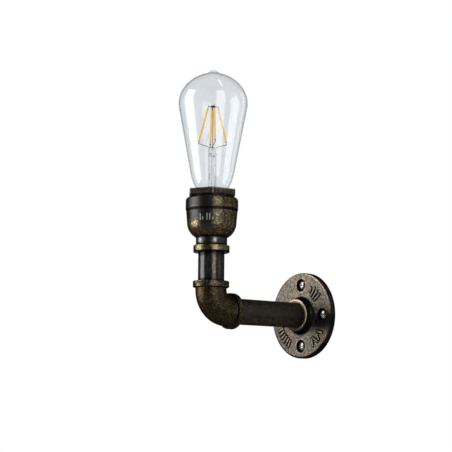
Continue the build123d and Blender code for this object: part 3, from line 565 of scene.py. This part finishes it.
# ---------------------------------------------------------------- arm and riser
# Two lengths of steel pipe, screwed into the fittings. The arm is painted a dull dark brown,
# and the riser a blue-grey, worn to metal in flecks down its right side.
upright_line, seen_right = -0.1300, (0.634, 0.774)


def across_upright(x, y):
    """How far a place lies to the right of the upright's axis, as the camera sees it: x and y
    from the axis, each times its share of that direction."""
    return x * seen_right[0] + (y - upright_line) * seen_right[1]


def painted_pipe(name, paint, worn_metal, rub_and_light, gloss):
    """Satin paint over steel, scuffed through in specks.

    The fourth argument gives two masks from the place: a darkening, from grimy settling and from
    painted shade, and scuffing through the paint, from real scuffs and from painted sheen. A noise
    of 12 mm makes the second uneven, and the grain, 1 to 3 mm across, breaks it into specks."""
    finish, tree, place, x, y, z = surface(name)
    cloud = tree.noise(place, 0.012, 3.0)
    grain = tree.noise(place, 0.0022, 3.0, 0.75)
    soot_and_shade, wear_and_sheen = rub_and_light(x, y, z)
    wear_and_sheen = wear_and_sheen * (0.2 + cloud.rise(0.35, 0.65) * 0.9) * (0.15 + grain.rise(0.48, 0.62) * 1.6)
    colour = tree.mix(wear_and_sheen.rise(0.05, 0.9), paint, worn_metal)
    principled(
        tree,
        Base_Color=tree.mix(soot_and_shade, colour, soot_and_shade_black),
        Metallic=0.90,
        Roughness=gloss + (grain - 0.5) * 0.30,
        Specular_Tint=(0.30, 0.28, 0.27, 1),
        Normal=tree.node("Bump", {}, {"Strength": 0.35, "Distance": 0.0004, "Height": grain}),
    )
    return finish


def arm_rub_and_sheen(x, y, z):
    """Light, even scuffs, painted lighter on the lower half, with painted sheen along the top and
    the underside; darker beside the hub.
    """
    edge_sheen = z.rise(0.003, 0.011) + z.rise(-0.005, -0.012)
    return y.rise(-0.0200, -0.0165) * 0.5, z.rise(0.004, -0.012) * 0.3 + 0.3 + edge_sheen * 1.6


def riser_rub_and_shade(x, y, z):
    """Specks on the right half, as the camera sees it, and painted shade there and at both ends,
    where the pipe meets the fittings.
    """
    ends = z.rise(0.0530, 0.0552).over(z.rise(0.0325, 0.0305))
    across = across_upright(x, y)
    right_half = across.rise(-0.008, 0.001)
    return ends.over(right_half * 0.62) * 0.78, right_half * z.near(0.046, 0.020)


dress("arm_pipe", painted_pipe(
    "arm_paint", (0.048, 0.043, 0.037, 1), (0.120, 0.096, 0.070, 1), arm_rub_and_sheen, 0.42
))
dress("riser_pipe", painted_pipe(
    "riser_paint", (0.086, 0.083, 0.083, 1), (0.25, 0.205, 0.14, 1), riser_rub_and_shade, 0.17
))

# ---------------------------------------------------------------- elbow
# An iron casting, bored and tapped at both mouths, with a thick band round each, under the same
# black wash. Hands and cloths have rubbed its upper band to gold.
elbow_top, elbow_mouth, elbow_band = 0.0290, -0.1010, 0.0065


def elbow_rubbing_and_light(x, y, z):
    """Flecked gold on the upper band, brighter to its left as a painted highlight; a painted
    highlight of grey iron on top of the arm's band; black in the grooves behind both; and flecks of
    brown metal over the rest, more towards the wall, and more on the upper left as painted light."""
    upper = z.rise(elbow_top - elbow_band - 0.0002, elbow_top - elbow_band + 0.0006)
    groove = z.near(elbow_top - elbow_band, 0.0009).over(y.near(elbow_mouth - elbow_band, 0.0012))
    left = across_upright(x, y).rise(0.006, -0.012)
    high = z.rise(-0.006, 0.018)
    lip_highlight = y.near(elbow_mouth - 0.0032, 0.0028) * z.rise(-0.004, 0.010)
    wallward = across_upright(x, y).rise(0.008, 0.018)
    # Painted light: more flecks on the upper left, and the upper band's gold brighter to its left.
    worn_and_lit = 0.55 + high * left * 0.3 + upper * 0.3 + wallward * 0.5
    return groove * 0.9, worn_and_lit, upper * (0.50 + left * 0.12), lip_highlight * 0.42


elbow_finish = casting(
    "elbow_casting", elbow_rubbing_and_light, (0.020, 0.018, 0.015, 1), (0.105, 0.078, 0.047, 1),
    thin=(0.036, 0.026, 0.014, 1), gloss=0.33,
)
dress("elbow", elbow_finish)

# ---------------------------------------------------------------- bell reducer
# The cast bell that holds the lampholder: a band below, a short neck, the bell and its collar.
# A row of small raised marks stands under the collar.
bell_foot, bell_collar, bell_flare = 0.0730, 0.1013, 0.083


def reducer_rubbing_and_light(x, y, z):
    """Gold on the lower band, painted darker across its middle and right where it mirrors the dark
    room; a painted highlight of pale metal low on the bell's left side; dark gold round the bell's
    foot; flecks over the right half; painted highlights as grey streaks on the neck and a line at
    the foot of the collar, on the left; black in the grooves, and painted shade under the lower
    band."""
    band = z.rise(0.0652, 0.0644)
    across = across_upright(x, y)
    left = across.rise(-0.006, -0.016)
    low = z.near(0.0845, 0.0085)
    foot = z.near(0.0772, 0.0042)
    groove = z.near(bell_collar - 0.0008, 0.0032).over(z.near(0.0658, 0.0016))
    # The last term is painted shade under the lower band.
    groove = groove.over(z.near(bell_foot - 0.0002, 0.0012)).over(z.rise(0.0602, 0.0588))
    flecks = across.rise(-0.002, 0.008) * z.rise(0.074, 0.080)
    flecks = flecks * (1 + across.rise(0.014, 0.022) * 0.8)
    neck = z.near(0.0695, 0.0042)
    # Painted highlights on the neck, and a painted highlight line at the collar's foot.
    streak_highlight = across.near(-0.0118, 0.0035) + across.near(0.0035, 0.0036) * 0.9
    lip_highlight = z.near(bell_collar + 0.0016, 0.0008) * left
    # Painted darkness in the band's gold where it mirrors the dark room; left times low is a
    # painted highlight on the bell.
    dark_reflection = across.near(-0.002, 0.009) * 0.30 + across.rise(0.004, 0.014) * 0.22
    worn_and_lit = 0.14 + flecks * 0.55 + left * low * 0.5 + foot * 0.6 + band * 0.4
    bright = band * (0.94 - dark_reflection) + left * low * 0.84 + foot * 0.52
    return groove, worn_and_lit, bright, neck * streak_highlight * 0.8 + lip_highlight * 0.3


reducer_finish = casting(
    "reducer_casting", reducer_rubbing_and_light, (0.060, 0.059, 0.056, 1), (0.23, 0.185, 0.13, 1),
    gold=(0.31, 0.258, 0.150, 1), thin=(0.062, 0.046, 0.024, 1),
)
dress("bell_reducer", reducer_finish)


def on_bell(bearing, height, radius):
    """Places a mark on the bell at a bearing and height. Its length is upright, and leans out
    by the bell's flare. Its width is bent round the bell's radius."""

    def place(along, across, out):
        turn = radians(bearing) + across / radius
        reach = radius + out + bell_flare * along
        return np.stack([
            reach * np.cos(turn), upright_line + reach * np.sin(turn), height + along
        ], axis=-1)

    return place


def mark_rubbing(x, y, z):
    """Pale flecks all over the small marks."""
    return z * 0, z * 0 + 0.75, z * 0 + 0.25, z * 0 + 0.75


mark_finish = casting(
    "mark_casting", mark_rubbing, (0.20, 0.19, 0.18, 1), (0.34, 0.31, 0.27, 1), gloss=0.36
)
mark_bearing, mark_height, mark_radius = -39.3, 0.0915, 0.02549
mark_half_width, mark_rise, mark_skirt = 0.00058, 0.00060, 0.0001
small_marks = joined("reducer_marks", [
    cast_bar(
        f"mark_{number}", mark_finish,
        on_bell(mark_bearing + turn, mark_height + rise, mark_radius),
        half / 1000, mark_half_width, mark_rise, mark_skirt,
    )
    for number, (turn, rise, half) in enumerate([
        (-26, 0, 3.0), (-20, -0.0018, 1.1), (-10, 0, 3.0), (-4, 0, 3.0), (3, -0.0018, 1.1)
    ])
])
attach(small_marks, "fixture")

# ---------------------------------------------------------------- hexagonal bushing
# A rough black iron bushing screwed into the bell's mouth over the lampholder's collar. The
# last turn of its thread shows between the bell and the hexagon.


def upright_ring(name, outward, turns, rise, finish):
    """The skin of a ring about the upright's axis: x is a point's distance times the cosine of
    its turn, y is the axis plus the distance times the sine, and z is its height."""
    points = [outward * np.cos(turns), upright_line + outward * np.sin(turns), rise]
    return skin(name, np.stack(points, -1), finish, ring=True)


def bushing_rubbing_and_light(x, y, z):
    """Black, with a few grey flecks. The face that looks to the wall is painted lighter and
    browner, where light falls, and the other face darker. Pale chips along the hexagon's top edge,
    painted brighter on its right as a highlight, and a painted highlight along its corners."""
    across = across_upright(x, y)
    top = z.rise(0.1197, 0.1208) * (0.4 + across.rise(-0.002, 0.002) * 0.6)
    corner = ((x * x + (y - upright_line) ** 2) ** 0.5).rise(0.02615, 0.02645)
    wallward = across.rise(-0.0005, 0.0015)
    # Painted light: the face towards the wall lighter, the top edge brighter on its right, the
    # corners lit.
    return 0.45 - wallward * 0.4, 0.30 + wallward * 0.45, top * 0.7, top * 0.55 + corner * 0.75


bushing_finish = casting(
    "bushing_casting", bushing_rubbing_and_light, (0.026, 0.026, 0.028, 1), (0.120, 0.112, 0.098, 1),
    gloss=0.36,
)
dress("hex_bushing", bushing_finish)
thread_pitch, thread_crest, thread_root = 0.0023, 0.0004, 0.0210
show_low, show_high = 0.1136, 0.1154
thread_rows = spaced([
    (thread_root - 0.0002, show_low), (thread_root, show_low), (thread_root, show_high),
    (thread_root - 0.0002, show_high),
], 0.0001)
turns = around(144)
outward, rise = swept(thread_rows, turns)
crest = 0.5 + 0.5 * np.cos(2 * pi * rise / thread_pitch - turns)
outward = outward + thread_crest * crest * np.clip((outward - thread_root + 0.0002) / 0.0002, 0, 1)
bushing_thread = upright_ring("bushing_thread", outward, turns, rise, bushing_finish)
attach(bushing_thread, "fixture")

# ---------------------------------------------------------------- lampholder
# A black moulded body and cup, clamped to a steel disc on the reducer's floor by a hollow nipple
# and its nut. A red fibre ring lies over the collar, and brass terminals are riveted through the
# cup to the shell and to the sprung leaf below the bulb.


def moulded(name, colour, rough, speck=0.06):
    """Moulded or pressed material: an even colour with a very fine grain in its gloss."""
    finish, tree, place, *_ = surface(name)
    fine = tree.noise(place, 0.0005, 3.0)
    cloud = tree.noise(place, 0.006, 2.0)
    paler = tuple(min(1, c * 1.6 + 0.01) for c in colour[:3]) + (1,)
    principled(
        tree,
        Base_Color=tree.mix(cloud.rise(0.5, 0.8) * speck * 6, colour, paler),
        Roughness=rough + (fine - 0.5) * 0.2,
        Normal=tree.node("Bump", {}, {"Strength": 0.2, "Distance": 0.0001, "Height": fine}),
    )
    return finish


phenolic = moulded("black_phenolic", (0.012, 0.011, 0.011, 1), 0.34)
dress("holder_body", phenolic)
dress("holder_cup", phenolic)
dress("holder_gasket", moulded("red_fibre", (0.26, 0.05, 0.035, 1), 0.75, 0.15))
brass = brushed("stamped_brass", (0.70, 0.50, 0.22, 1), 0.27)
for part in (
    "shell_terminal", "centre_terminal", "terminal_washers", "centre_contact", "nipple_locknut",
    "terminal_screws",
):
    dress(part, brass)
zinc = brushed("zinc_plating", (0.60, 0.61, 0.63, 1), 0.34)
for part in ("support_disc", "holder_nipple", "lock_washer", "earth_lug"):
    dress(part, zinc)

# The shell is rolled from thin brass: its wall waves in and out with the lamp thread.
lamp_pitch, lamp_thread_depth = 0.003629, 0.00040
shell_inner, shell_wall = 0.01295, 0.00045
shell_floor, shell_rim, shell_hole = 0.09205, 0.11450, 0.00960
shell_thread = 0.0945, 0.1140
shell_ring = spaced([
    (shell_hole, shell_floor), (shell_inner + shell_wall, shell_floor),
    (shell_inner + shell_wall, shell_rim), (shell_inner, shell_rim),
    (shell_inner, shell_floor + shell_wall), (shell_hole, shell_floor + shell_wall),
    (shell_hole, shell_floor + 0.0001),
], 0.0003)
turns = around(128)
outward, rise = swept(shell_ring, turns)
outward = np.where(
    outward > shell_inner - 0.0001,
    threaded(outward, rise, turns, lamp_pitch, lamp_thread_depth, *shell_thread),
    outward,
)
rolled_shell = upright_ring("rolled_shell", outward, turns, rise, brass)
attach(rolled_shell, "fixture")
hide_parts("screw_shell")

# ---------------------------------------------------------------- leads
# Three copper leads in soft sheaths, pulled through the arm and the riser. Each is stripped at
# both ends: at the wall, and under a terminal's screw or in the earth lug's barrel.


def insulated(name, colour, bare):
    """Soft sheath over copper: bare says where the sheath is stripped, from 0 to 1."""
    finish, tree, place, x, y, z = surface(name)
    fine = tree.noise(place, 0.0006, 2.0)
    stripped = bare(x, y, z)
    principled(
        tree,
        Base_Color=tree.mix(stripped, colour, (0.72, 0.32, 0.16, 1)),
        Metallic=stripped,
        Roughness=0.45 - stripped * 0.15 + (fine - 0.5) * 0.15,
    )
    return finish


def ends_of_pair(x, y, z):
    """Bare at the wall end and beyond the sheath's end beside each terminal screw."""
    return y.rise(-0.0070, -0.0069).over(abs(x).rise(0.0052, 0.0053))


def ends_of_earth(x, y, z):
    """Bare at the wall end and up inside the lug's barrel."""
    return y.rise(-0.0070, -0.0069).over(z.rise(0.0713, 0.0714))


dress("lead_live", insulated("black_sheath", (0.015, 0.015, 0.016, 1), ends_of_pair))
dress("lead_neutral", insulated("white_sheath", (0.80, 0.79, 0.76, 1), ends_of_pair))
dress("lead_earth", insulated("green_sheath", (0.03, 0.28, 0.07, 1), ends_of_earth))

# ---------------------------------------------------------------- bulb cap
# A thin nickelled shell with the lamp thread rolled into it, cemented to the glass. Its foot is
# closed by black glass that holds the soldered centre contact.
cap_radius, cap_wall, cap_foot, cap_rim = 0.01290, 0.00035, 0.10050, 0.11950
cap_lip, cap_corner, cap_thread = 0.00890, 0.0016, (0.1024, 0.1172)
cap_bend_end = cap_foot + cap_corner + 0.0002
corner = np.linspace(-pi / 2, 0, 9)[:, None]
outer_corner = np.concatenate([
    cap_radius - cap_corner + cap_corner * np.cos(corner),
    cap_foot + cap_corner + cap_corner * np.sin(corner),
], axis=1)
inner_bend = cap_corner - cap_wall
inner_corner = np.concatenate([
    cap_radius - cap_corner + inner_bend * np.cos(corner),
    cap_foot + cap_corner + inner_bend * np.sin(corner),
], axis=1)[::-1]
cap_ring = np.concatenate([
    [(cap_lip, cap_foot)], outer_corner,
    spaced([(cap_radius, cap_bend_end), (cap_radius, cap_rim)], 0.0003),
    spaced([(cap_radius - cap_wall, cap_rim), (cap_radius - cap_wall, cap_bend_end)], 0.0003),
    inner_corner, [(cap_lip, cap_foot + cap_wall)],
])
outward, rise = swept(cap_ring, turns)
outward = np.where(
    outward > cap_radius - 0.0006,
    threaded(outward, rise, turns, lamp_pitch, lamp_thread_depth, *cap_thread),
    outward,
)
nickel = brushed("cap_nickel", (0.66, 0.64, 0.58, 1), 0.27)
rolled_cap = upright_ring("rolled_cap", outward, turns, rise, nickel)
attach(rolled_cap, "bulb")
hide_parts("bulb_cap")
dress("cap_insulator", moulded("black_glass", (0.010, 0.010, 0.014, 1), 0.12))
dress("cap_contact", brushed("solder_tip", (0.55, 0.55, 0.54, 1), 0.34))

# ---------------------------------------------------------------- bulb glass
# The envelope is blown from clear glass and was sealed at its crown, where it is drawn to a tip.
# It is fused to a stem of heavier glass, whose top is pressed flat round the wires.


def clear_glass(name, tint, rim, rim_start, index):
    """Lamp glass, clear and fire-polished smooth, by its body colour and refractive index.

    From rim_start, 0 where the glass faces the eye and 1 where it turns away, to its outline it
    deepens to the rim's colour, a painted shade for the dark outline glass shows."""
    finish, tree, *_ = surface(name)
    turned = tree.node("LayerWeight", {}, {"Blend": 0.5}, "Facing").rise(rim_start, 1.0)
    colour = tree.mix(turned, tint, rim)
    principled(tree, Base_Color=colour, Roughness=0.0, IOR=index, Transmission_Weight=1.0)
    return finish


def bent(start, heading, end, count):
    """Points on the arc that leaves start along heading and reaches end.

    Its radius is the chord's square over twice the chord's reach to the side, and equal steps
    of angle about its centre give the points.
    """
    start, heading, end = (np.array(v, float) for v in (start, heading, end))
    heading = heading / np.hypot(*heading)
    across = np.array([-heading[1], heading[0]])
    chord = end - start
    radius = chord @ chord / (2 * across @ chord)
    centre = start + radius * across
    first, last = start - centre, end - centre
    swing = np.arctan2(first[0] * last[1] - first[1] * last[0], first @ last)
    steps = np.linspace(0, swing, count)[:, None]
    quarter = np.array([-first[1], first[0]])
    return centre + first * np.cos(steps) + quarter * np.sin(steps)


def arc(middle, radius, first, last, count):
    """Points on an arc from one angle to another, in degrees clockwise from straight up."""
    turn = np.radians(np.linspace(first, last, count))
    return np.array(middle) + radius * np.stack([np.sin(turn), np.cos(turn)], axis=1)


def evenly(points, step):
    """The same line, with a point at every step of its length."""
    run = np.concatenate([[0], np.cumsum(np.hypot(*np.diff(points, axis=0).T))])
    at = np.linspace(0, run[-1], int(run[-1] / step) + 1)
    return np.stack([np.interp(at, run, points[:, 0]), np.interp(at, run, points[:, 1])], axis=1)


def softened(points, window):
    """The line averaged over a window of points, which rounds its corners and keeps its ends."""
    weight = np.hanning(window + 2)[1:-1]
    half = window // 2
    before = 2 * points[0] - points[half:0:-1]
    after = 2 * points[-1] - points[-2:-half - 2:-1]
    long = np.concatenate([before, points, after])
    return np.stack([np.convolve(side, weight / weight.sum(), "valid") for side in long.T], axis=1)


# Each glass's body tint, then the painted shade at its outline.
envelope_tints = (0.845, 0.865, 0.885, 1), (0.20, 0.21, 0.23, 1)
stem_tints = (0.99, 0.99, 0.99, 1), (0.03, 0.03, 0.035, 1)
envelope_rim, stem_rim, envelope_index, stem_index = 0.62, 0.12, 1.5, 1.6
glass_wall, crown_apex, crown_radius, crown_sweep = 0.0008, 0.2436, 0.0373, 56.4
shoulder_radius, cone_lean, cone_foot = 0.0272, 10.7, 0.1390
pip_top, pip_reach = 0.2471, 0.0070
heel, neck_radius, neck_rise, neck_foot = (0.01595, 0.1225), 0.01245, 0.1201, 0.1120
crown_middle = np.array([0, crown_apex - crown_radius])
shift = crown_radius - shoulder_radius
shoulder_middle = crown_middle + shift * np.array([
    sin(radians(crown_sweep)), cos(radians(crown_sweep))
])
pip_sweep = np.degrees(np.arcsin(pip_reach / crown_radius))
pip_tall = pip_top - crown_middle[1] - crown_radius * cos(radians(pip_sweep))
pip_radius = (pip_reach ** 2 + pip_tall ** 2) / (2 * pip_tall)
dome_sweep = np.degrees(np.arcsin(pip_reach / pip_radius))
shoulder_foot = arc(shoulder_middle, shoulder_radius, 90 + cone_lean, 90 + cone_lean, 1)[0]
cone_slope = tan(radians(cone_lean))
cone_end = np.array([shoulder_foot[0] - (shoulder_foot[1] - cone_foot) * cone_slope, cone_foot])
upper = evenly(np.concatenate([
    arc((0, pip_top - pip_radius), pip_radius, 0, dome_sweep, 30),
    arc(crown_middle, crown_radius, pip_sweep, crown_sweep, 90)[1:],
    arc(shoulder_middle, shoulder_radius, crown_sweep, 90 + cone_lean, 60)[1:],
]), 0.0004)
far_side = upper[:0:-1] * (-1, 1)
upper = softened(np.concatenate([far_side, upper]), 13)[len(far_side):]
lower = softened(evenly(np.concatenate([
    bent(cone_end, (-cone_slope, -1), heel, 40),
    [(neck_radius, neck_rise), (neck_radius, neck_foot)],
]), 0.00025), 5)
side = np.linspace(upper[-1], lower[0], 24)[1:-1]
outer_wall = np.concatenate([upper, side, lower])[::-1]
along = np.gradient(outer_wall, axis=0)
inwards = np.stack([-along[:, 1], along[:, 0]], axis=1) / np.hypot(*along.T)[:, None]
inner_wall = outer_wall + glass_wall * inwards
inner_wall[-1, 0] = outer_wall[-1, 0] = 0
turns = around(144)
glass_ring = np.concatenate([outer_wall, inner_wall[::-1]])
outward, rise = swept(glass_ring, turns)
envelope_glass = clear_glass("envelope_glass", *envelope_tints, envelope_rim, envelope_index)
blown_glass = upright_ring("blown_glass", outward, turns, rise, envelope_glass)
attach(blown_glass, "bulb")
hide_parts("bulb_glass")
stem_glass = clear_glass("stem_glass", *stem_tints, stem_rim, stem_index)
dress("bulb_stem", stem_glass)
dress("exhaust_tube", stem_glass)

# ---------------------------------------------------------------- filaments and driver
# Four slim sticks coated in yellow phosphor, with a metal tab at each end. They are welded to
# dark nickel wires from the stem's press and to a wire star at their tops. The driver's board
# and capacitor sit in the cap.
filament_foot, filament_top, tab_show = 0.1703, 0.2080, 0.0019


def coated(name):
    """Yellow coat with a faint painted glow, cloudy between two shades, with dark metal tabs at
    both ends.
    """
    finish, tree, place, _, _, z = surface(name)
    tabs = z.rise(filament_foot + tab_show + 0.0001, filament_foot + tab_show)
    tabs = tabs.over(z.rise(filament_top - tab_show - 0.0001, filament_top - tab_show))
    cloud = tree.noise(place, 0.004, 2.0)
    coat = tree.mix(cloud, (0.88, 0.49, 0.08, 1), (0.95, 0.67, 0.17, 1))
    principled(
        tree,
        Base_Color=tree.mix(tabs, coat, (0.02, 0.018, 0.016, 1)),
        Metallic=tabs * 0.4,
        # Emission paints a faint glow on the coat: the bulb is not lit.
        Emission_Color=tree.mix(tabs, coat, (0, 0, 0, 1)),
        Emission_Strength=0.42,
        Roughness=0.5 - tabs * 0.1,
    )
    return finish


phosphor = coated("yellow_phosphor")
for number in range(4):
    dress(f"filament_{number + 1}", phosphor)
nickel_wire = brushed("dark_wire", (0.020, 0.018, 0.016, 1), 0.50, metallic=0.3)
for part in ("hub_wire", "lead_in_wire_1", "lead_in_wire_2", "anchor_wire_1", "anchor_wire_2"):
    dress(part, nickel_wire)
dress("driver_board", moulded("board_lacquer", (0.02, 0.16, 0.07, 1), 0.35, 0.12))
dress("driver_capacitor", moulded("capacitor_sleeve", (0.03, 0.03, 0.05, 1), 0.35))
